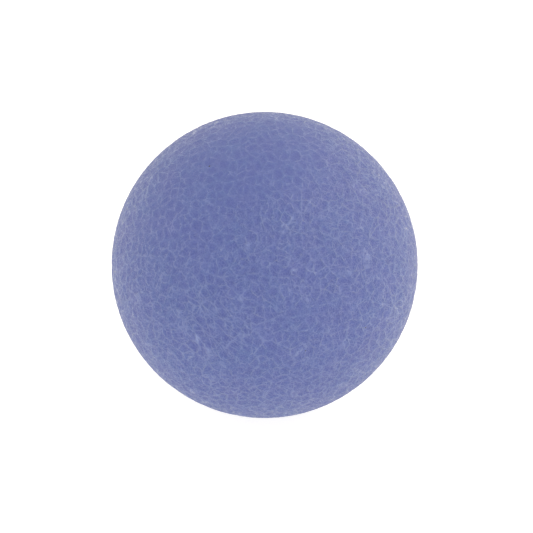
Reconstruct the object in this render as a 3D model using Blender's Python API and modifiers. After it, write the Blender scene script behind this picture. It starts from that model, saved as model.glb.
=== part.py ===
"""Gel stress ball: two half shells of soft skin closed round a gel core, with a plug in the filling hole.

Metres, +Z up. The origin is the centre of the small flat that the ball stands on.
"""

from math import acos, asin, cos, pi, radians, sin, sqrt

import bpy

# Whole ball
BALL_DIAMETER = 0.050
REST_FLAT_DIAMETER = 0.011  # the moulded flat round the filling hole
SKIN_WALL = 0.0024
FIT_GAP = 0.0003  # between pieces that touch

# Lap joint where the two half shells meet
LAP_HEIGHT = 0.0016  # how far the lower shell's tongue stands into the upper shell

# Filling neck, inside the lower shell
NECK_BORE_DIAMETER = 0.0032
NECK_WALL = 0.0030
NECK_HEIGHT = 0.0020  # above the inside of the skin

# Filling plug
PLUG_HEAD_DIAMETER = 0.0072
PLUG_HEAD_THICKNESS = 0.0008
PLUG_RECESS = 0.0002  # from the rest flat up to the head, so that the ball never stands on the plug
BARB_GRIP = 0.0005  # how much further out than the bore the barb reaches
BARB_LENGTH = 0.0016
BARB_TIP_DIAMETER = 0.0020

# Bead of cement in a groove over the plug's head
CEMENT_THICKNESS = 0.0003
CEMENT_LAND = 0.00025  # skin left between the groove and the bore, and outside the groove

# Colours, linear
SKIN_COLOUR = (0.181, 0.209, 0.423)
GEL_COLOUR = (0.130, 0.170, 0.450)
PLUG_COLOUR = (0.130, 0.165, 0.380)
CEMENT_COLOUR = (0.600, 0.580, 0.500)

# Fineness of the turned shapes
TURN_STEPS = 48
ARC_STEP_DEGREES = 7.5
MERGE_DISTANCE = 0.00001

# Worked out from the sizes above. Heights are from the ball's centre unless named "above_rest".
OUTER_RADIUS = BALL_DIAMETER / 2
INNER_RADIUS = OUTER_RADIUS - SKIN_WALL
GEL_RADIUS = INNER_RADIUS - FIT_GAP
REST_FLAT_RADIUS = REST_FLAT_DIAMETER / 2
CENTRE_HEIGHT = sqrt(OUTER_RADIUS**2 - REST_FLAT_RADIUS**2)
LAP_RADIUS = OUTER_RADIUS - SKIN_WALL / 2
BORE_RADIUS = NECK_BORE_DIAMETER / 2
NECK_RADIUS = BORE_RADIUS + NECK_WALL
STEM_RADIUS = BORE_RADIUS - FIT_GAP
BARB_RADIUS = BORE_RADIUS + BARB_GRIP
HEAD_RADIUS = PLUG_HEAD_DIAMETER / 2
SEAT_RADIUS = HEAD_RADIUS + FIT_GAP
GROOVE_INNER_RADIUS = BORE_RADIUS + CEMENT_LAND
GROOVE_OUTER_RADIUS = HEAD_RADIUS - CEMENT_LAND

HEAD_TOP_ABOVE_REST = PLUG_RECESS + PLUG_HEAD_THICKNESS
SEAT_ABOVE_REST = HEAD_TOP_ABOVE_REST + FIT_GAP
NECK_TOP_ABOVE_REST = CENTRE_HEIGHT - INNER_RADIUS + NECK_HEIGHT
BARB_START_ABOVE_REST = NECK_TOP_ABOVE_REST + FIT_GAP
BARB_END_ABOVE_REST = BARB_START_ABOVE_REST + BARB_LENGTH
GROOVE_END_ABOVE_REST = SEAT_ABOVE_REST + CEMENT_THICKNESS + FIT_GAP


def clear_scene():
    for obj in list(bpy.data.objects):
        bpy.data.objects.remove(obj, do_unlink=True)


def new_collection(name):
    collection = bpy.data.collections.new(name)
    bpy.context.scene.collection.children.link(collection)
    return collection


def new_material(name, colour, roughness, transmission=0.0):
    material = bpy.data.materials.new(name)
    material.use_nodes = True
    material.diffuse_color = (*colour, 1.0)
    shader = material.node_tree.nodes["Principled BSDF"]
    shader.inputs["Base Color"].default_value = (*colour, 1.0)
    shader.inputs["Roughness"].default_value = roughness
    shader.inputs["Metallic"].default_value = 0.0
    shader.inputs["Transmission Weight"].default_value = transmission
    return material


def arc(radius, first_angle, last_angle):
    """Points (r, z) on a circle about the ball's centre. Angles are in radians above the equator."""
    steps = max(2, round(abs(last_angle - first_angle) / radians(ARC_STEP_DEGREES)))
    angles = [first_angle + (last_angle - first_angle) * i / steps for i in range(steps + 1)]
    return [(radius * cos(angle), radius * sin(angle)) for angle in angles]


def turned(name, profile, closed, height, material, collection, parent):
    """Turns a profile of (r, z) points about the Z axis. A profile runs down its outer side."""
    mesh = bpy.data.meshes.new(name)
    edges = [(i, i + 1) for i in range(len(profile) - 1)]
    if closed:
        edges.append((len(profile) - 1, 0))
    mesh.from_pydata([(r, 0.0, z) for r, z in profile], edges, [])
    mesh.materials.append(material)
    obj = bpy.data.objects.new(name, mesh)
    collection.objects.link(obj)
    obj.parent = parent
    obj.location = (0.0, 0.0, height)

    screw = obj.modifiers.new("turn", "SCREW")
    screw.axis = "Z"
    screw.angle = 2 * pi
    screw.steps = TURN_STEPS
    screw.render_steps = TURN_STEPS
    screw.use_merge_vertices = True
    screw.merge_threshold = MERGE_DISTANCE
    screw.use_smooth_shade = True
    return obj


def new_empty(name, collection, height, parent=None):
    empty = bpy.data.objects.new(name, None)
    empty.empty_display_size = BALL_DIAMETER / 2
    collection.objects.link(empty)
    empty.parent = parent
    empty.location = (0.0, 0.0, height)
    return empty


def upper_skin_profile():
    """Half shell with its skirt outside the lap: down the outside, then up the inside to the pole."""
    skirt_radius = LAP_RADIUS + FIT_GAP / 2
    lap_top = LAP_HEIGHT + FIT_GAP
    outside = arc(OUTER_RADIUS, pi / 2, 0.0)
    inside = arc(INNER_RADIUS, asin(lap_top / INNER_RADIUS), pi / 2)
    return outside + [(skirt_radius, 0.0), (skirt_radius, lap_top)] + inside


def lower_skin_profile():
    """Half shell with the rest flat, the plug's seat and cement groove, the neck and the lap's tongue."""
    rest = -CENTRE_HEIGHT
    tongue_radius = LAP_RADIUS - FIT_GAP / 2
    outside = arc(OUTER_RADIUS, -asin(FIT_GAP / OUTER_RADIUS), -acos(REST_FLAT_RADIUS / OUTER_RADIUS))
    hole = [
        (SEAT_RADIUS, rest),
        (SEAT_RADIUS, rest + SEAT_ABOVE_REST),
        (GROOVE_OUTER_RADIUS, rest + SEAT_ABOVE_REST),
        (GROOVE_OUTER_RADIUS, rest + GROOVE_END_ABOVE_REST),
        (GROOVE_INNER_RADIUS, rest + GROOVE_END_ABOVE_REST),
        (GROOVE_INNER_RADIUS, rest + SEAT_ABOVE_REST),
        (BORE_RADIUS, rest + SEAT_ABOVE_REST),
        (BORE_RADIUS, rest + NECK_TOP_ABOVE_REST),
        (NECK_RADIUS, rest + NECK_TOP_ABOVE_REST),
    ]
    inside = arc(INNER_RADIUS, -acos(NECK_RADIUS / INNER_RADIUS), asin(LAP_HEIGHT / INNER_RADIUS))
    return outside + hole + inside + [(tongue_radius, LAP_HEIGHT), (tongue_radius, -FIT_GAP)]


def gel_core_profile():
    """The gel that fills the skin, with a pocket that clears the neck and the plug's barb."""
    rest = -CENTRE_HEIGHT
    neck_pocket_radius = NECK_RADIUS + FIT_GAP
    neck_pocket_end = rest + NECK_TOP_ABOVE_REST + FIT_GAP
    barb_pocket_radius = BARB_RADIUS + FIT_GAP
    barb_pocket_end = rest + BARB_END_ABOVE_REST + FIT_GAP
    outside = arc(GEL_RADIUS, pi / 2, -acos(neck_pocket_radius / GEL_RADIUS))
    pocket = [
        (neck_pocket_radius, neck_pocket_end),
        (barb_pocket_radius, neck_pocket_end),
        (barb_pocket_radius, barb_pocket_end),
        (0.0, barb_pocket_end),
    ]
    return outside + pocket


def filling_plug_profile():
    """Barb, stem and flat head, from the tip down. Heights are above the rest flat."""
    return [
        (0.0, BARB_END_ABOVE_REST),
        (BARB_TIP_DIAMETER / 2, BARB_END_ABOVE_REST),
        (BARB_RADIUS, BARB_START_ABOVE_REST),
        (STEM_RADIUS, BARB_START_ABOVE_REST),
        (STEM_RADIUS, HEAD_TOP_ABOVE_REST),
        (HEAD_RADIUS, HEAD_TOP_ABOVE_REST),
        (HEAD_RADIUS, PLUG_RECESS),
        (0.0, PLUG_RECESS),
    ]


def plug_cement_profile():
    """Flat bead in the middle of the groove. Heights are above the rest flat."""
    inner = GROOVE_INNER_RADIUS + FIT_GAP
    outer = GROOVE_OUTER_RADIUS - FIT_GAP
    bottom = SEAT_ABOVE_REST
    top = bottom + CEMENT_THICKNESS
    return [(outer, top), (outer, bottom), (inner, bottom), (inner, top)]


def build():
    clear_scene()
    ball = new_collection("stress_ball")
    skin = new_material("blue_rubber_skin", SKIN_COLOUR, roughness=0.55)
    gel = new_material("clear_blue_gel", GEL_COLOUR, roughness=0.20, transmission=0.6)
    plug = new_material("blue_rubber_plug", PLUG_COLOUR, roughness=0.45)
    cement = new_material("dried_cement", CEMENT_COLOUR, roughness=0.35)

    standing = new_empty("standing_on_flat", ball, 0.0)
    squeezing = new_empty("squeeze_slide", ball, CENTRE_HEIGHT, standing)

    turned("upper_skin", upper_skin_profile(), False, 0.0, skin, ball, squeezing)
    turned("lower_skin", lower_skin_profile(), True, CENTRE_HEIGHT, skin, ball, standing)
    turned("gel_core", gel_core_profile(), False, CENTRE_HEIGHT, gel, ball, standing)
    turned("filling_plug", filling_plug_profile(), False, 0.0, plug, ball, standing)
    turned("plug_cement", plug_cement_profile(), True, 0.0, cement, ball, standing)
    bpy.context.view_layer.update()


build()
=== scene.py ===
import math

import bmesh
import bpy
from mathutils import Matrix, Vector, noise


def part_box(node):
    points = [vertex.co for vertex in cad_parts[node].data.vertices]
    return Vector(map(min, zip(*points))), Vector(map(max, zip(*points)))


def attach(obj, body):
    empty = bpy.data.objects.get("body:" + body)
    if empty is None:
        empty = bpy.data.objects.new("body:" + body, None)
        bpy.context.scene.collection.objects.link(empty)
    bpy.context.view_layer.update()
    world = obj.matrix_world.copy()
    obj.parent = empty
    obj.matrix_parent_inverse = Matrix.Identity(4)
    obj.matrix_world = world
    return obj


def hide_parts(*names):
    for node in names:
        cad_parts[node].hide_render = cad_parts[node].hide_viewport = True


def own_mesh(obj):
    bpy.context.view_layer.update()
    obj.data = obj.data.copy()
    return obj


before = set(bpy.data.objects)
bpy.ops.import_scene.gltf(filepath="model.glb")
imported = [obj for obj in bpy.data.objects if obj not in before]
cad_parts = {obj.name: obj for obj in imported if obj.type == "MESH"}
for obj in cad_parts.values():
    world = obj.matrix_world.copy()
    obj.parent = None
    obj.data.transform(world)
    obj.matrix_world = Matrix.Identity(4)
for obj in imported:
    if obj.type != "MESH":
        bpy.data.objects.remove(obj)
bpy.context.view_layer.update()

mm = 0.001

# the ball's own measures, read from the fixed solids
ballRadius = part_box("lower_skin")[1].x
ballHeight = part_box("upper_skin")[1].z
centreHeight = ballHeight - ballRadius
ballCentre = Vector((0, 0, centreHeight))
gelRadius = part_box("gel_core")[1].x
print("ball", round(2 * ballRadius / mm, 2), "mm across, centre at", round(centreHeight / mm, 2), "mm")


# camera

cameraSettings = {
    "elevation": 30,  # degrees above the table
    "distance": 0.60,  # from the ball's centre
    "lens": 248.0,  # mm, the ball fills a little over half of the frame
    "sensorWidth": 36,
    "shift": (0.0035, -0.0029),
    "nearest": 0.01,
    "farthest": 20,
}


def makeCamera(settings):
    tilt = math.radians(settings["elevation"])
    back = Vector((0, -math.cos(tilt), math.sin(tilt)))
    data = bpy.data.cameras.new("camera")
    data.lens = settings["lens"]
    data.sensor_width = settings["sensorWidth"]
    data.shift_x, data.shift_y = settings["shift"]
    data.clip_start = settings["nearest"]
    data.clip_end = settings["farthest"]
    camera = bpy.data.objects.new("camera", data)
    camera.location = ballCentre + back * settings["distance"]
    camera.rotation_euler = (-back).to_track_quat("-Z", "Y").to_euler()
    bpy.context.scene.collection.objects.link(camera)
    bpy.context.scene.camera = camera


makeCamera(cameraSettings)
print("camera placed")


# helpers for places, colours and nodes

def direction(azimuth, elevation):
    # unit vector from the ball's centre; azimuth 0 faces the camera and grows to the right
    a, e = math.radians(azimuth), math.radians(elevation)
    return Vector((math.cos(e) * math.sin(a), -math.cos(e) * math.cos(a), math.sin(e)))


def linear(hexColour):
    channels = [int(hexColour[i:i + 2], 16) / 255 for i in (1, 3, 5)]
    return tuple(c / 12.92 if c <= 0.04045 else ((c + 0.055) / 1.055) ** 2.4 for c in channels) + (1,)


def addNode(tree, kind, links=None, **settings):
    # adds one node; links maps an input's name or number to a socket or a value
    made = tree.nodes.new(kind)
    for key, value in settings.items():
        setattr(made, key, value)
    for key, value in (links or {}).items():
        if isinstance(value, bpy.types.NodeSocket):
            tree.links.new(value, made.inputs[key])
        else:
            made.inputs[key].default_value = value
    return made.outputs


def newMaterial(name):
    material = bpy.data.materials.new(name)
    material.use_nodes = True
    material.node_tree.nodes.clear()
    return material, material.node_tree


# grain: a moulded leather grain, the same in the mesh and in the finish

grain = {
    "drift": (5.0 * mm, 0.9 * mm),  # size and reach of the slow bends, which vary the size of the pebbles
    "wander": (0.8 * mm, 0.20 * mm),  # size and reach of the quick bends, which curl the veins
    "drawnOut": 1.6,  # pebbles are this much longer one way, as on hide
    "grainTurn": 30,  # degrees, which way that is
    "cellSize": 1.50 * mm,  # pebbles between the main veins
    "veinWidth": 0.125 * mm,  # half of a vein, flank included
    "smallCellSize": 0.80 * mm,
    "smallVeinWidth": 0.09 * mm,
    "hairCellSize": 0.42 * mm,
    "hairVeinWidth": 0.065 * mm,
    "shares": (1.0, 0.60, 0.22),  # strength of the main, small and hair-fine veins
    "rimWidth": 0.55 * mm,  # how far a pebble's edge rises towards its veins
    "patchSize": 4.0 * mm,  # stretches of strong and of faint veins
    "patchRange": (0.38, 0.60),
    "mainInPatches": (0.55, 1.0),  # strength of the main veins in a faint and in a strong patch
    "smallInPatches": (1.0, 0.5),
    "breakSize": 0.8 * mm,  # gaps along a vein
    "breakRange": (0.43, 0.66),
    "inBreaks": (0.08, 0.92),  # strength of a vein in a gap and away from it
    "creaseSize": (1.4 * mm, 11 * mm),  # across and along the long creases
    "creaseWidth": 0.08 * mm,
    "creaseTurn": -48,  # degrees
    "creaseShare": 0.5,
    "creaseSpot": ((-19, 7), 9 * mm),  # azimuth and elevation on the ball, and how far it reaches
    "smoothSpot": ((6, 80), 16 * mm),
    "smoothSide": ((-52, 50), 17 * mm),
    "sideShare": 0.6,  # how much the side is worn, next to the crown
    "spotCore": 0.3,  # of a spot's reach, where it is at full strength
    "wornStrength": 0.42,  # of the grain where it is fully worn
}


def spot(tree, place, where, reach):
    # 1 round a place on the ball, fading to 0 at a distance of reach
    target = ballCentre + direction(*where) * ballRadius
    gap = addNode(tree, "ShaderNodeVectorMath", {0: place, 1: target}, operation="DISTANCE")["Value"]
    return addNode(tree, "ShaderNodeMapRange", {0: gap, 1: grain["spotCore"] * reach, 2: reach, 3: 1.0,
                                                4: 0.0}, interpolation_type="SMOOTHSTEP")[0]


def bend(tree, place, size, reach):
    # moves coordinates about smoothly, by up to reach
    wander = addNode(tree, "ShaderNodeTexNoise", {"Vector": place, "Scale": 1 / size, "Detail": 1.0})["Color"]
    centred = addNode(tree, "ShaderNodeVectorMath", {0: wander, 1: (0.5, 0.5, 0.5)}, operation="SUBTRACT")[0]
    offset = addNode(tree, "ShaderNodeVectorMath", {0: centred, "Scale": 2 * reach}, operation="SCALE")[0]
    return addNode(tree, "ShaderNodeVectorMath", {0: place, 1: offset}, operation="ADD")[0]


def veins(tree, place, size, width):
    # lines between irregular cells, 1 in the middle of a line; also how far a point is from its cell's edge
    edge = addNode(tree, "ShaderNodeTexVoronoi", {"Vector": place, "Scale": 1 / size},
                   feature="DISTANCE_TO_EDGE")["Distance"]
    line = addNode(tree, "ShaderNodeMapRange", {0: edge, 1: 0.0, 2: width / size, 3: 1.0, 4: 0.0},
                   interpolation_type="SMOOTHSTEP")[0]
    return line, edge


def grainField(tree, place):
    # the main, small and hair-fine veins, all drawn out one way
    turned = addNode(tree, "ShaderNodeVectorRotate", {"Vector": place, "Axis": (1, 0, 0),
                                                      "Angle": math.radians(grain["grainTurn"])},
                     rotation_type="AXIS_ANGLE")[0]
    drawn = addNode(tree, "ShaderNodeVectorMath", {0: turned, 1: (1.0, 1 / grain["drawnOut"], 1.0)},
                    operation="MULTIPLY")[0]
    bent = bend(tree, bend(tree, drawn, *grain["drift"]), *grain["wander"])
    mainLine, mainEdge = veins(tree, bent, grain["cellSize"], grain["veinWidth"])
    smallLine = veins(tree, bent, grain["smallCellSize"], grain["smallVeinWidth"])[0]
    hairLine = veins(tree, bent, grain["hairCellSize"], grain["hairVeinWidth"])[0]

    # strong and faint stretches, and gaps along each vein
    patches = addNode(tree, "ShaderNodeTexNoise", {"Vector": place, "Scale": 1 / grain["patchSize"],
                                                   "Detail": 3.0, "Roughness": 0.6})[0]
    faint, strong = grain["patchRange"]
    strength, smallStrength = [
        addNode(tree, "ShaderNodeMapRange", {0: patches, 1: faint, 2: strong, 3: grain[key][0],
                                             4: grain[key][1]})[0]
        for key in ("mainInPatches", "smallInPatches")]
    breaks = addNode(tree, "ShaderNodeTexNoise", {"Vector": bent, "Scale": 1 / grain["breakSize"],
                                                  "Detail": 2.0, "Roughness": 0.6})[0]
    low, high = grain["breakRange"]
    inGap, whole = grain["inBreaks"]
    kept = addNode(tree, "ShaderNodeMapRange", {0: breaks, 1: low, 2: high, 3: inGap, 4: whole})[0]

    # two places where the mould is worn smoother
    crown = spot(tree, place, *grain["smoothSpot"])
    side = spot(tree, place, *grain["smoothSide"])
    worn = addNode(tree, "ShaderNodeMath", {0: side, 1: grain["sideShare"], 2: crown},
                   operation="MULTIPLY_ADD", use_clamp=True)[0]
    region = addNode(tree, "ShaderNodeMapRange", {0: worn, 3: 1.0, 4: grain["wornStrength"]})[0]

    # long creases that cross the grain in one place
    across, along = grain["creaseSize"]
    slanted = addNode(tree, "ShaderNodeVectorRotate", {
        "Vector": bend(tree, place, *grain["wander"]), "Axis": (0, 1, 0),
        "Angle": math.radians(grain["creaseTurn"])}, rotation_type="AXIS_ANGLE")[0]
    stretched = addNode(tree, "ShaderNodeVectorMath", {0: slanted, 1: (across / along, 1.0, 1.0)},
                        operation="MULTIPLY")[0]
    creaseLine = veins(tree, stretched, across, grain["creaseWidth"])[0]
    creases = addNode(tree, "ShaderNodeMath", {0: creaseLine, 1: spot(tree, place, *grain["creaseSpot"])},
                      operation="MULTIPLY")[0]

    # all the lines together
    mainShare, smallShare, hairShare = grain["shares"]
    main = addNode(tree, "ShaderNodeMath", {0: mainLine, 1: strength}, operation="MULTIPLY")[0]
    main = addNode(tree, "ShaderNodeMath", {0: main, 1: mainShare}, operation="MULTIPLY")[0]
    small = addNode(tree, "ShaderNodeMath", {0: smallLine, 1: smallStrength}, operation="MULTIPLY")[0]
    small = addNode(tree, "ShaderNodeMath", {0: small, 1: smallShare}, operation="MULTIPLY")[0]
    both = addNode(tree, "ShaderNodeMath", {0: main, 1: small}, operation="MAXIMUM")[0]
    broken = addNode(tree, "ShaderNodeMath", {0: both, 1: kept}, operation="MULTIPLY")[0]
    withHairs = addNode(tree, "ShaderNodeMath", {0: hairLine, 1: hairShare, 2: broken},
                        operation="MULTIPLY_ADD")[0]
    crossed = addNode(tree, "ShaderNodeMath", {0: creases, 1: grain["creaseShare"], 2: withHairs},
                      operation="MULTIPLY_ADD")[0]
    lines = addNode(tree, "ShaderNodeMath", {0: crossed, 1: region}, operation="MULTIPLY")[0]

    # each pebble is a shallow dimple that rises towards its veins
    rim = addNode(tree, "ShaderNodeMapRange", {0: mainEdge, 1: 0.0, 2: grain["rimWidth"] / grain["cellSize"],
                                               3: 1.0, 4: 0.0}, interpolation_type="SMOOTHSTEP")[0]
    return {"lines": lines, "rim": rim, "region": region}


# pieces

pieceSizes = {
    "roundingSteps": 3,
    "sharp": 28,  # degrees, past which an edge is rounded
    "turnSteps": 128,
    "mergeDistance": 0.002 * mm,
}


def roundCorners(bm, rounding):
    corners = [edge for edge in bm.edges if edge.is_manifold
               and edge.calc_face_angle() > math.radians(pieceSizes["sharp"])]
    bmesh.ops.bevel(bm, geom=corners, offset=rounding, segments=pieceSizes["roundingSteps"], affect="EDGES",
                    profile=0.5, material=-1, clamp_overlap=True)


def toPiece(bm, name):
    bmesh.ops.recalc_face_normals(bm, faces=bm.faces)
    mesh = bpy.data.meshes.new(name)
    bm.to_mesh(mesh)
    bm.free()
    mesh.shade_smooth()
    piece = bpy.data.objects.new(name, mesh)
    bpy.context.scene.collection.objects.link(piece)
    return piece


def turnPiece(name, profile, rounding):
    # turns a chain of (radius, height) points about the ball's upright axis
    bm = bmesh.new()
    points = [bm.verts.new((radius, 0, height)) for radius, height in profile]
    chain = [bm.edges.new(pair) for pair in zip(points, points[1:])]
    bmesh.ops.spin(bm, geom=points + chain, cent=(0, 0, 0), axis=(0, 0, 1), angle=2 * math.pi,
                   steps=pieceSizes["turnSteps"], use_merge=True)
    bmesh.ops.remove_doubles(bm, verts=bm.verts, dist=pieceSizes["mergeDistance"])
    bmesh.ops.recalc_face_normals(bm, faces=bm.faces)
    roundCorners(bm, rounding)
    return toPiece(bm, name)


def flattenWithBall(piece):
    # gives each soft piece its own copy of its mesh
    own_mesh(piece)


# skin: one seamless outer surface, the rest flat and the filling hole, and the inside of the wall

skinSizes = {
    "fineness": 8,  # times the ball's triangles are divided
    "innerRadius": gelRadius + 0.3 * mm,  # the solids' gap, and then the wall
    "seatRadius": 3.9 * mm,
    "seatHeight": 1.3 * mm,
    "grooveRadii": (3.35 * mm, 1.85 * mm),  # for the cement
    "grooveTop": 1.9 * mm,
    "boreRadius": 1.6 * mm,
    "neckRadius": 4.6 * mm,
    "neckHeight": 2.0 * mm,
    "insideRings": 20,
    "rounding": 0.06 * mm,
    "tolerance": 0.01 * mm,  # within which a point counts as on the cut or on the outside
    "edgeFade": 1.6 * mm,  # the grain fades out above the flat
    "ridgeHeight": 0.035 * mm,
    "dimpleDepth": 0.12 * mm,
}


def nextRing(bm, edges, radius, height):
    # extrudes a ring of edges and sets the new ring on a circle
    made = bmesh.ops.extrude_edge_only(bm, edges=edges)["geom"]
    for vert in (part for part in made if isinstance(part, bmesh.types.BMVert)):
        flat = vert.co.xy.normalized() * radius
        vert.co = (flat.x, flat.y, height)
    return [part for part in made if isinstance(part, bmesh.types.BMEdge) and part.is_boundary]


def makeSkin(sizes):
    bm = bmesh.new()
    bmesh.ops.create_icosphere(bm, subdivisions=sizes["fineness"], radius=ballRadius,
                               matrix=Matrix.Translation(ballCentre))
    bmesh.ops.bisect_plane(bm, geom=bm.verts[:] + bm.edges[:] + bm.faces[:], dist=sizes["tolerance"],
                           plane_co=(0, 0, 0), plane_no=(0, 0, -1), clear_outer=True, use_snap_center=True)
    ring = [edge for edge in bm.edges if edge.is_boundary]
    inner = sizes["innerRadius"]
    neckTop = centreHeight - inner + sizes["neckHeight"]
    grooveOuter, grooveInner = sizes["grooveRadii"]
    inward = [
        (sizes["seatRadius"], 0.0),
        (sizes["seatRadius"], sizes["seatHeight"]),
        (grooveOuter, sizes["seatHeight"]),
        (grooveOuter, sizes["grooveTop"]),
        (grooveInner, sizes["grooveTop"]),
        (grooveInner, sizes["seatHeight"]),
        (sizes["boreRadius"], sizes["seatHeight"]),
        (sizes["boreRadius"], neckTop),
        (sizes["neckRadius"], neckTop),
    ]
    low = -math.acos(sizes["neckRadius"] / inner)
    for step in range(sizes["insideRings"]):
        angle = low + (math.pi / 2 - low) * step / sizes["insideRings"]
        inward.append((inner * math.cos(angle), centreHeight + inner * math.sin(angle)))
    for radius, height in inward:
        ring = nextRing(bm, ring, radius, height)
    crown = bmesh.ops.contextual_create(bm, geom=ring)["faces"]
    bmesh.ops.poke(bm, faces=crown)
    bmesh.ops.remove_doubles(bm, verts=bm.verts, dist=pieceSizes["mergeDistance"])
    bmesh.ops.recalc_face_normals(bm, faces=bm.faces)
    roundCorners(bm, sizes["rounding"])

    # 1 on the grained outside, fading to 0 at the flat and on the inside
    layer = bm.verts.layers.float.new("outside")
    for vert in bm.verts:
        if (vert.co - ballCentre).length > ballRadius - sizes["tolerance"]:
            rise = min(1, max(0, vert.co.z / sizes["edgeFade"]))
            vert[layer] = rise * rise * (3 - 2 * rise)
    return toPiece(bm, "grained_skin")


def raiseGrain(piece, sizes):
    # keeps each point's place at rest for the finish, then raises the grain in the mesh
    tree = bpy.data.node_groups.new("raise_grain", "GeometryNodeTree")
    tree.interface.new_socket("Geometry", in_out="INPUT", socket_type="NodeSocketGeometry")
    tree.interface.new_socket("Geometry", in_out="OUTPUT", socket_type="NodeSocketGeometry")
    before = addNode(tree, "NodeGroupInput")[0]
    place = addNode(tree, "GeometryNodeInputPosition")[0]
    kept = addNode(tree, "GeometryNodeStoreNamedAttribute", {"Geometry": before, "Name": "restPlace",
                                                             "Value": place},
                   data_type="FLOAT_VECTOR", domain="POINT")[0]
    field = grainField(tree, place)
    dimple = addNode(tree, "ShaderNodeMapRange", {0: field["rim"], 3: -sizes["dimpleDepth"], 4: 0.0})[0]
    relief = addNode(tree, "ShaderNodeMath", {0: dimple, 1: field["region"]}, operation="MULTIPLY")[0]
    height = addNode(tree, "ShaderNodeMath", {0: field["lines"], 1: sizes["ridgeHeight"], 2: relief},
                     operation="MULTIPLY_ADD")[0]
    outside = addNode(tree, "GeometryNodeInputNamedAttribute", {"Name": "outside"}, data_type="FLOAT")[0]
    faded = addNode(tree, "ShaderNodeMath", {0: height, 1: outside}, operation="MULTIPLY")[0]
    normal = addNode(tree, "GeometryNodeInputNormal")[0]
    lift = addNode(tree, "ShaderNodeVectorMath", {0: normal, "Scale": faded}, operation="SCALE")[0]
    moved = addNode(tree, "GeometryNodeSetPosition", {"Geometry": kept, "Offset": lift})[0]
    addNode(tree, "NodeGroupOutput", {0: moved})
    modifier = piece.modifiers.new("raise grain", "NODES")
    modifier.node_group = tree

    # the result becomes the piece's own mesh
    view = bpy.context.evaluated_depsgraph_get()
    mesh = bpy.data.meshes.new_from_object(piece.evaluated_get(view))
    piece.modifiers.clear()
    piece.data = mesh
    mesh.shade_smooth()


# thermoplastic rubber moulded in a leather-grained tool: matt and milky, with paler, glossier veins over
# pebbles with painted shade in their middles, a faint drift in tone from violet to teal, and a yellowish
# bloom at a low angle

skinFinish = {
    "violet": "#535d9d",
    "teal": "#4f619e",
    # painted shade: a darker blue laid into the hollow middle of each pebble
    "paintedShade": "#475399",
    "paintedShadeShare": 0.75,
    "vein": "#7785ba",
    "speck": "#2a2836",
    "driftSize": 6.0 * mm,
    "driftRange": (0.35, 0.65),
    "speckleSize": 0.22 * mm,  # the finest mottling, drawn coarser than it is so that it shows
    "speckleRange": (0.25, 0.75),
    "speckleValue": (0.88, 1.12),  # darkest and lightest, next to the colour under it
    "roughness": 0.68,
    "glossyRoughness": 0.14,  # on the veins, which rub against the hand
    "fullGloss": 0.7,  # strength of a vein that has all of the gloss
    "ior": 1.44,
    "sheen": 0.07,  # the bloom that such rubber has at a low angle
    "sheenRoughness": 0.7,
    "sheenTint": "#fbf7a8",
    "subsurface": 0.15,
    "subsurfaceRadius": (0.8, 0.8, 0.8),
    "subsurfaceScale": 0.4 * mm,
    "relief": 0.12 * mm,
    "fineRelief": 0.2,  # of the relief, between the veins
    "specks": [((-50.5, 63), 0.19 * mm), ((40, -1), 0.15 * mm), ((15, -4), 0.12 * mm)],
    "speckCore": 0.6,  # of a speck's radius, where it is at full strength
}


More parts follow.
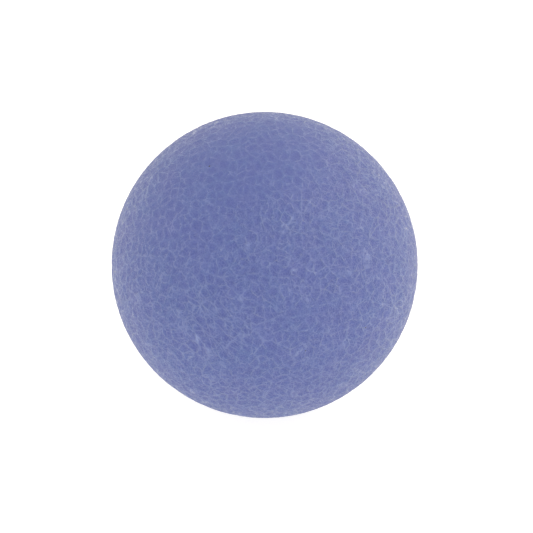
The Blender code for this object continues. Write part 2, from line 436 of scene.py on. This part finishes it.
def makeSkinMaterial(finish):
    material, tree = newMaterial("moulded_thermoplastic_rubber")
    place = addNode(tree, "ShaderNodeAttribute", attribute_name="restPlace")["Vector"]
    outside = addNode(tree, "ShaderNodeAttribute", attribute_name="outside")["Fac"]
    field = grainField(tree, place)
    lines = addNode(tree, "ShaderNodeMath", {0: field["lines"], 1: outside}, operation="MULTIPLY",
                    use_clamp=True)[0]

    # the slow drift in tone, then painted shade that darkens the hollow middles of the pebbles
    drift = addNode(tree, "ShaderNodeTexNoise", {"Vector": place, "Scale": 1 / finish["driftSize"],
                                                 "Detail": 6.0, "Roughness": 0.75})[0]
    low, high = finish["driftRange"]
    spread = addNode(tree, "ShaderNodeMapRange", {0: drift, 1: low, 2: high})[0]
    body = addNode(tree, "ShaderNodeMix", {0: spread, 6: linear(finish["violet"]), 7: linear(finish["teal"])},
                   data_type="RGBA")[2]
    # painted shade, strongest in the middle of each pebble and gone at its rim
    middle = addNode(tree, "ShaderNodeMapRange", {0: field["rim"], 3: finish["paintedShadeShare"], 4: 0.0})[0]
    body = addNode(tree, "ShaderNodeMix", {0: middle, 6: body, 7: linear(finish["paintedShade"])},
                   data_type="RGBA")[2]

    # fine mottling, and the veins over it
    fine = addNode(tree, "ShaderNodeTexNoise", {"Vector": place, "Scale": 1 / finish["speckleSize"],
                                                "Detail": 2.0, "Roughness": 0.6})[0]
    low, high = finish["speckleRange"]
    dark, light = finish["speckleValue"]
    value = addNode(tree, "ShaderNodeMapRange", {0: fine, 1: low, 2: high, 3: dark, 4: light})[0]
    body = addNode(tree, "ShaderNodeHueSaturation", {"Value": value, "Color": body})[0]
    colour = addNode(tree, "ShaderNodeMix", {0: lines, 6: body, 7: linear(finish["vein"])},
                     data_type="RGBA")[2]

    # three tiny dark specks under the surface
    for where, radius in finish["specks"]:
        target = ballCentre + direction(*where) * ballRadius
        gap = addNode(tree, "ShaderNodeVectorMath", {0: place, 1: target}, operation="DISTANCE")["Value"]
        inside = addNode(tree, "ShaderNodeMapRange", {0: gap, 1: finish["speckCore"] * radius, 2: radius,
                                                      3: 1.0, 4: 0.0})[0]
        colour = addNode(tree, "ShaderNodeMix", {0: inside, 6: colour, 7: linear(finish["speck"])},
                         data_type="RGBA")[2]

    # the ridge of each vein, and a fine skin texture between them
    height = addNode(tree, "ShaderNodeMath", {0: fine, 1: finish["fineRelief"], 2: lines},
                     operation="MULTIPLY_ADD")[0]
    bump = addNode(tree, "ShaderNodeBump", {"Height": height, "Strength": 1.0,
                                            "Distance": finish["relief"]})[0]
    rough = addNode(tree, "ShaderNodeMapRange", {0: lines, 1: 0.0, 2: finish["fullGloss"],
                                                 3: finish["roughness"], 4: finish["glossyRoughness"]})[0]
    shader = addNode(tree, "ShaderNodeBsdfPrincipled", {
        "Base Color": colour, "Roughness": rough, "IOR": finish["ior"], "Normal": bump,
        "Sheen Weight": finish["sheen"], "Sheen Roughness": finish["sheenRoughness"],
        "Sheen Tint": linear(finish["sheenTint"]), "Subsurface Weight": finish["subsurface"],
        "Subsurface Radius": finish["subsurfaceRadius"], "Subsurface Scale": finish["subsurfaceScale"]})[0]
    addNode(tree, "ShaderNodeOutputMaterial", {"Surface": shader})
    return material


skin = makeSkin(skinSizes)
print("skin shaped,", len(skin.data.polygons), "faces")
raiseGrain(skin, skinSizes)
print("grain raised,", len(skin.data.vertices), "points")
skin.data.materials.append(makeSkinMaterial(skinFinish))
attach(skin, "lower_half")
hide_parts("upper_skin", "lower_skin")
flattenWithBall(skin)
print("skin finished")


# gel: fills the skin, with a pocket that clears the neck and the plug's barb

gelSizes = {
    "neckPocketRadius": 4.9 * mm,
    "neckPocketTop": 4.087 * mm,
    "barbPocketRadius": 2.4 * mm,
    "barbPocketTop": 5.987 * mm,
    "arcSteps": 60,
    "rounding": 0.30 * mm,
}

# oil gel cast in the skin: clear but clouded, with hair-fine bubbles, and wet-looking where it is cut

gelFinish = {
    "clear": "#6277bd",
    "cloudy": "#8797cb",
    "bubble": "#c3cce6",
    "cloudSize": 6 * mm,
    "cloudRange": (0.35, 0.68),
    "bubbleSpacing": 1.8 * mm,
    "bubbleRadius": 0.16 * mm,
    "bubbleCore": 0.6,  # of a bubble's radius, where it is at full strength
    "bubbleRelief": 0.05 * mm,
    "patchRange": (0.3, 0.7),  # of the clouds, for the roughness
    "roughness": (0.10, 0.24),
    "ior": 1.46,
    "transmission": 0.35,
    "subsurface": 0.3,
    "subsurfaceRadius": (0.6, 0.8, 1.0),
    "subsurfaceScale": 4 * mm,
}


def bubblesIn(tree, place, finish):
    # 1 in each trapped bubble, one bubble to a cell of the spacing
    gap = addNode(tree, "ShaderNodeTexVoronoi", {"Vector": place, "Scale": 1 / finish["bubbleSpacing"]})[0]
    edge = finish["bubbleRadius"] / finish["bubbleSpacing"]
    core = edge * finish["bubbleCore"]
    return addNode(tree, "ShaderNodeMapRange", {0: gap, 1: core, 2: edge, 3: 1.0, 4: 0.0})[0]


def makeGel(sizes):
    low = -math.acos(sizes["neckPocketRadius"] / gelRadius)
    profile = []
    for step in range(sizes["arcSteps"] + 1):
        angle = math.pi / 2 + (low - math.pi / 2) * step / sizes["arcSteps"]
        profile.append((gelRadius * math.cos(angle), centreHeight + gelRadius * math.sin(angle)))
    profile += [
        (sizes["neckPocketRadius"], sizes["neckPocketTop"]),
        (sizes["barbPocketRadius"], sizes["neckPocketTop"]),
        (sizes["barbPocketRadius"], sizes["barbPocketTop"]),
        (0.0, sizes["barbPocketTop"]),
    ]
    return turnPiece("gel_filling", profile, sizes["rounding"])


def makeGelMaterial(finish):
    material, tree = newMaterial("cast_oil_gel")
    place = addNode(tree, "ShaderNodeTexCoord")["Object"]
    cloud = addNode(tree, "ShaderNodeTexNoise", {"Vector": place, "Scale": 1 / finish["cloudSize"],
                                                 "Detail": 4.0, "Distortion": 0.6})[0]
    low, high = finish["cloudRange"]
    spread = addNode(tree, "ShaderNodeMapRange", {0: cloud, 1: low, 2: high})[0]
    body = addNode(tree, "ShaderNodeMix", {0: spread, 6: linear(finish["clear"]),
                                           7: linear(finish["cloudy"])}, data_type="RGBA")[2]
    bubbles = bubblesIn(tree, place, finish)
    colour = addNode(tree, "ShaderNodeMix", {0: bubbles, 6: body, 7: linear(finish["bubble"])},
                     data_type="RGBA")[2]
    low, high = finish["patchRange"]
    smooth, dull = finish["roughness"]
    rough = addNode(tree, "ShaderNodeMapRange", {0: cloud, 1: low, 2: high, 3: smooth, 4: dull})[0]
    bump = addNode(tree, "ShaderNodeBump", {"Height": bubbles, "Strength": 0.5,
                                            "Distance": finish["bubbleRelief"]})[0]
    shader = addNode(tree, "ShaderNodeBsdfPrincipled", {
        "Base Color": colour, "Roughness": rough, "IOR": finish["ior"], "Normal": bump,
        "Transmission Weight": finish["transmission"], "Subsurface Weight": finish["subsurface"],
        "Subsurface Radius": finish["subsurfaceRadius"], "Subsurface Scale": finish["subsurfaceScale"]})[0]
    addNode(tree, "ShaderNodeOutputMaterial", {"Surface": shader})
    return material


gel = makeGel(gelSizes)
gel.data.materials.append(makeGelMaterial(gelFinish))
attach(gel, "lower_half")
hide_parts("gel_core")
flattenWithBall(gel)
print("gel made,", len(gel.data.polygons), "faces")


# filling plug: barb, stem and a dished head, pushed into the hole from below

plugSizes = {
    "tipRadius": 1.0 * mm,
    "barbTop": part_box("filling_plug")[1].z,
    "barbRadius": 2.1 * mm,
    "barbBottom": 4.087 * mm,
    "stemRadius": 1.3 * mm,
    "headTop": 1.0 * mm,
    "headRadius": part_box("filling_plug")[1].x,
    "headBottom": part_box("filling_plug")[0].z,
    "dishRadius": 2.7 * mm,
    "dishDepth": 0.16 * mm,
    "gateRadius": 0.45 * mm,  # where the moulding was broken off its runner
    "gateHeight": 0.10 * mm,
    "gateTaper": 0.8,
    "rounding": 0.07 * mm,
}

# solid thermoplastic rubber from a polished tool: the skin's blue a little deeper, and smoother, with faint
# flow marks that ring the gate

plugFinish = {
    "body": "#56639f",
    "flow": "#6672aa",
    "waveLength": 0.31,  # of a wave texture of scale 1
    "ringSpacing": 0.35 * mm,
    "patchSize": 1.2 * mm,
    "textureSize": 0.18 * mm,
    "textureRange": (0.3, 0.7),
    "textureRelief": 0.01 * mm,
    "roughness": (0.36, 0.48),
    "ior": 1.5,
    "subsurface": 0.15,
    "subsurfaceRadius": (0.5, 0.6, 1.0),
    "subsurfaceScale": 0.5 * mm,
}


def makePlug(sizes):
    bottom = sizes["headBottom"]
    dish = bottom + sizes["dishDepth"]
    profile = [
        (0.0, sizes["barbTop"]),
        (sizes["tipRadius"], sizes["barbTop"]),
        (sizes["barbRadius"], sizes["barbBottom"]),
        (sizes["stemRadius"], sizes["barbBottom"]),
        (sizes["stemRadius"], sizes["headTop"]),
        (sizes["headRadius"], sizes["headTop"]),
        (sizes["headRadius"], bottom),
        (sizes["dishRadius"], bottom),
        (sizes["dishRadius"] - sizes["dishDepth"], dish),
        (sizes["gateRadius"], dish),
        (sizes["gateRadius"] * sizes["gateTaper"], dish - sizes["gateHeight"]),
        (0.0, dish - sizes["gateHeight"]),
    ]
    return turnPiece("dished_plug", profile, sizes["rounding"])


def makePlugMaterial(finish):
    material, tree = newMaterial("polished_thermoplastic_rubber")
    place = addNode(tree, "ShaderNodeTexCoord")["Object"]
    rings = addNode(tree, "ShaderNodeTexWave", {
        "Vector": place, "Scale": finish["waveLength"] / finish["ringSpacing"], "Distortion": 3.0,
        "Detail": 2.0, "Detail Scale": 1.5}, wave_type="RINGS", rings_direction="Z")["Fac"]
    patches = addNode(tree, "ShaderNodeTexNoise", {"Vector": place, "Scale": 1 / finish["patchSize"],
                                                   "Detail": 3.0})[0]
    marks = addNode(tree, "ShaderNodeMath", {0: rings, 1: patches}, operation="MULTIPLY")[0]
    colour = addNode(tree, "ShaderNodeMix", {0: marks, 6: linear(finish["body"]), 7: linear(finish["flow"])},
                     data_type="RGBA")[2]
    fine = addNode(tree, "ShaderNodeTexNoise", {"Vector": place, "Scale": 1 / finish["textureSize"],
                                                "Detail": 2.0})[0]
    low, high = finish["textureRange"]
    smooth, dull = finish["roughness"]
    rough = addNode(tree, "ShaderNodeMapRange", {0: fine, 1: low, 2: high, 3: smooth, 4: dull})[0]
    bump = addNode(tree, "ShaderNodeBump", {"Height": fine, "Strength": 0.3,
                                            "Distance": finish["textureRelief"]})[0]
    shader = addNode(tree, "ShaderNodeBsdfPrincipled", {
        "Base Color": colour, "Roughness": rough, "IOR": finish["ior"], "Normal": bump,
        "Subsurface Weight": finish["subsurface"], "Subsurface Radius": finish["subsurfaceRadius"],
        "Subsurface Scale": finish["subsurfaceScale"]})[0]
    addNode(tree, "ShaderNodeOutputMaterial", {"Surface": shader})
    return material


plug = makePlug(plugSizes)
plug.data.materials.append(makePlugMaterial(plugFinish))
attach(plug, "lower_half")
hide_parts("filling_plug")
flattenWithBall(plug)
print("plug made,", len(plug.data.polygons), "faces")


# bead of cement in the groove over the plug's head

cementSizes = {
    "innerRadius": 2.15 * mm,
    "outerRadius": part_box("plug_cement")[1].x,
    "bottom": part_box("plug_cement")[0].z,
    "top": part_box("plug_cement")[1].z,
    "rounding": 0.12 * mm,
    "unevenness": 0.03 * mm,  # a bead laid by hand is never quite even
    "unevenSize": 0.9 * mm,
}

# rubber cement squeezed from a tube and dried: amber, half clear and glossy, with a few trapped bubbles

cementFinish = {
    "thin": "#cfc7a8",
    "thick": "#b8a873",
    "bubble": "#efe9d6",
    "cloudSize": 0.8 * mm,
    "cloudRange": (0.35, 0.65),
    "cloudRelief": 0.05 * mm,
    "bubbleSpacing": 0.5 * mm,
    "bubbleRadius": 0.09 * mm,
    "bubbleCore": 0.6,
    "patchRange": (0.3, 0.7),  # of the clouds, for the roughness
    "roughness": (0.22, 0.38),
    "ior": 1.52,
    "transmission": 0.25,
}


def makeCement(sizes):
    inner, outer = sizes["innerRadius"], sizes["outerRadius"]
    bottom, top = sizes["bottom"], sizes["top"]
    section = [(outer, top), (outer, bottom), (inner, bottom), (inner, top), (outer, top)]
    piece = turnPiece("cement_bead", section, sizes["rounding"])
    middle = Vector(((inner + outer) / 2, (bottom + top) / 2))
    for vert in piece.data.vertices:
        # only inwards, so that the bead stays in its groove
        amount = abs(noise.noise(vert.co / sizes["unevenSize"])) * sizes["unevenness"]
        radius = vert.co.xy.length
        away = Vector((radius, vert.co.z)) - middle
        inwards = away.normalized() * -amount
        flat = vert.co.xy.normalized() * (radius + inwards.x)
        vert.co = (flat.x, flat.y, vert.co.z + inwards.y)
    return piece


def makeCementMaterial(finish):
    material, tree = newMaterial("dried_rubber_cement")
    place = addNode(tree, "ShaderNodeTexCoord")["Object"]
    cloud = addNode(tree, "ShaderNodeTexNoise", {"Vector": place, "Scale": 1 / finish["cloudSize"],
                                                 "Detail": 3.0})[0]
    low, high = finish["cloudRange"]
    spread = addNode(tree, "ShaderNodeMapRange", {0: cloud, 1: low, 2: high})[0]
    body = addNode(tree, "ShaderNodeMix", {0: spread, 6: linear(finish["thin"]), 7: linear(finish["thick"])},
                   data_type="RGBA")[2]
    bubbles = bubblesIn(tree, place, finish)
    colour = addNode(tree, "ShaderNodeMix", {0: bubbles, 6: body, 7: linear(finish["bubble"])},
                     data_type="RGBA")[2]
    low, high = finish["patchRange"]
    smooth, dull = finish["roughness"]
    rough = addNode(tree, "ShaderNodeMapRange", {0: cloud, 1: low, 2: high, 3: smooth, 4: dull})[0]
    bump = addNode(tree, "ShaderNodeBump", {"Height": cloud, "Strength": 0.5,
                                            "Distance": finish["cloudRelief"]})[0]
    shader = addNode(tree, "ShaderNodeBsdfPrincipled", {
        "Base Color": colour, "Roughness": rough, "IOR": finish["ior"], "Normal": bump,
        "Transmission Weight": finish["transmission"]})[0]
    addNode(tree, "ShaderNodeOutputMaterial", {"Surface": shader})
    return material


cement = makeCement(cementSizes)
cement.data.materials.append(makeCementMaterial(cementFinish))
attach(cement, "lower_half")
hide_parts("plug_cement")
flattenWithBall(cement)
print("cement made,", len(cement.data.polygons), "faces")


# a light table in a white room with three soft boxes

stageSizes = {
    "width": 3.0,
    "gap": 0.02 * mm,  # under the rest flat, so that the two faces never lie in one plane
    "colour": "#a3a3a3",
    "roughness": 0.9,
    "glow": 0.88,  # lights the ball's underside
    "glowColour": "#fffdf8",
}

lightSettings = {
    "room": 1.09,
    "roomColour": "#fffdf7",
    "boxDistance": 0.8,
    "boxColour": "#ffe9c2",
    "boxes": {  # azimuth and elevation, size, power in watts
        "right box": ((72, 45), 0.25, 1.9),
        "left box": ((-105, 0), 0.25, 1.3),
        "glint box": ((120, 28), 0.08, 0.8),  # small, so that the veins glint
    },
}


def makeStage(sizes):
    bm = bmesh.new()
    bmesh.ops.create_grid(bm, x_segments=1, y_segments=1, size=sizes["width"] / 2,
                          matrix=Matrix.Translation((0, 0, -sizes["gap"])))
    top = toPiece(bm, "light_table")
    # opal acrylic sheet lit from inside: even, matt and plain white
    material, tree = newMaterial("opal_acrylic")
    shader = addNode(tree, "ShaderNodeBsdfPrincipled", {
        "Base Color": linear(sizes["colour"]), "Roughness": sizes["roughness"],
        "Emission Color": linear(sizes["glowColour"]), "Emission Strength": sizes["glow"]})[0]
    addNode(tree, "ShaderNodeOutputMaterial", {"Surface": shader})
    top.data.materials.append(material)


def makeLights(settings):
    for name, (where, size, power) in settings["boxes"].items():
        data = bpy.data.lights.new(name, "AREA")
        data.size = size
        data.energy = power
        data.color = linear(settings["boxColour"])[:3]
        light = bpy.data.objects.new(name, data)
        out = direction(*where)
        light.location = ballCentre + out * settings["boxDistance"]
        light.rotation_euler = (-out).to_track_quat("-Z", "Y").to_euler()
        bpy.context.scene.collection.objects.link(light)
    world = bpy.data.worlds.new("white room")
    world.use_nodes = True
    background = world.node_tree.nodes["Background"]
    background.inputs["Color"].default_value = linear(settings["roomColour"])
    background.inputs["Strength"].default_value = settings["room"]
    bpy.context.scene.world = world
    bpy.context.scene.view_settings.view_transform = "Standard"


makeStage(stageSizes)
makeLights(lightSettings)
print("stage and lights set")
